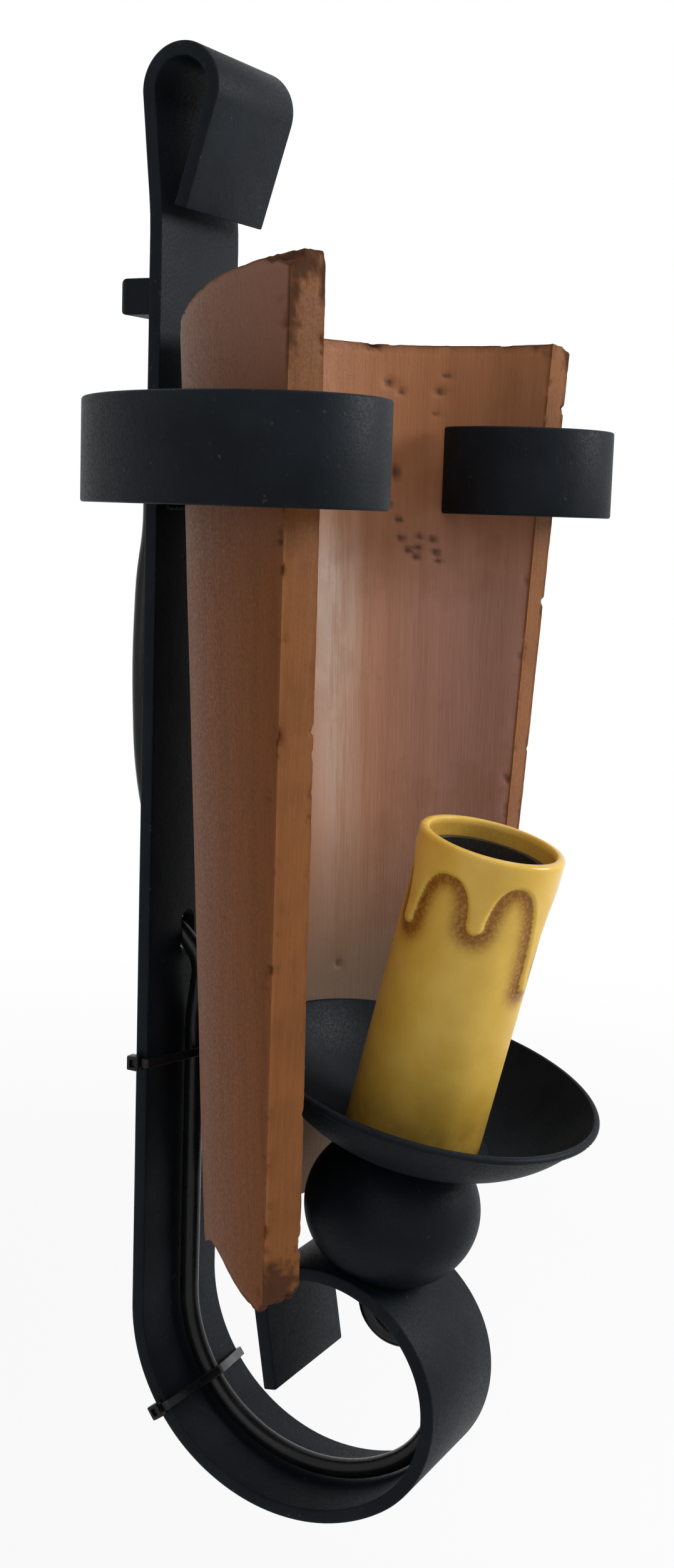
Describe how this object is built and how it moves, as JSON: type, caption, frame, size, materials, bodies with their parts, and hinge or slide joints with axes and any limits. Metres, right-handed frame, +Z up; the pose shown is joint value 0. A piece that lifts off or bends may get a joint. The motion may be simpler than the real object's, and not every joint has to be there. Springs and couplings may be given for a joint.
{
  "type": "wall lamp",
  "caption": "Wrought iron wall lamp: a flat bar bent into a loop and a scroll, with a terracotta roof tile as reflector behind a leaning candle light on a ball and drip pan.",
  "frame": {"origin": "middle of the hanger lug's back face, where it meets the wall", "axes": "+Y into the wall, +Z up, +X to the right for someone who faces the lamp"},
  "size_m": [0.199, 0.1385, 0.3983],
  "materials": {
    "iron": "matte charcoal paint",
    "terracotta": "rough fired clay",
    "wax": "waxy satin",
    "zinc": "zinc plated",
    "black_plastic": "satin",
    "porcelain": "matte",
    "brass": "bright",
    "black_pvc": "glossy",
    "core_pvc": "satin",
    "block_plastic": "satin"
  },
  "bodies": {
    "lamp": {"back_strap": "iron", "hanger_lug": "iron", "lug_welds": "iron", "tile_clasp": "iron", "clasp_welds": "iron", "scroll_ball": "iron", "drip_pan": "iron", "threaded_tube": "zinc", "tube_nut": "zinc", "holder_cap": "black_plastic", "holder_skirt": "black_plastic", "contact_insert": "porcelain", "terminal_screws": "brass", "screw_shell": "brass", "centre_contact": "brass", "power_cable": "black_pvc", "cable_cores": "core_pvc", "cable_tie_upper": "black_pvc", "cable_tie_lower": "black_pvc", "terminal_block": "block_plastic", "block_clamp_screws": "brass", "block_fixing_screw": "zinc"},
    "tile": {"roof_tile": "terracotta"},
    "candle": {"candle_sleeve": "wax"}
  },
  "joints": [
    {"name": "tile_lift", "type": "slide", "parent": "lamp", "child": "tile", "axis": [0, 0.0748, 0.9972], "range_m": [0, 0.028]},
    {"name": "candle_lift", "type": "slide", "parent": "lamp", "child": "candle", "axis": [0, -0.2334, 0.9724], "range_m": [0, 0.09]}
  ]
}
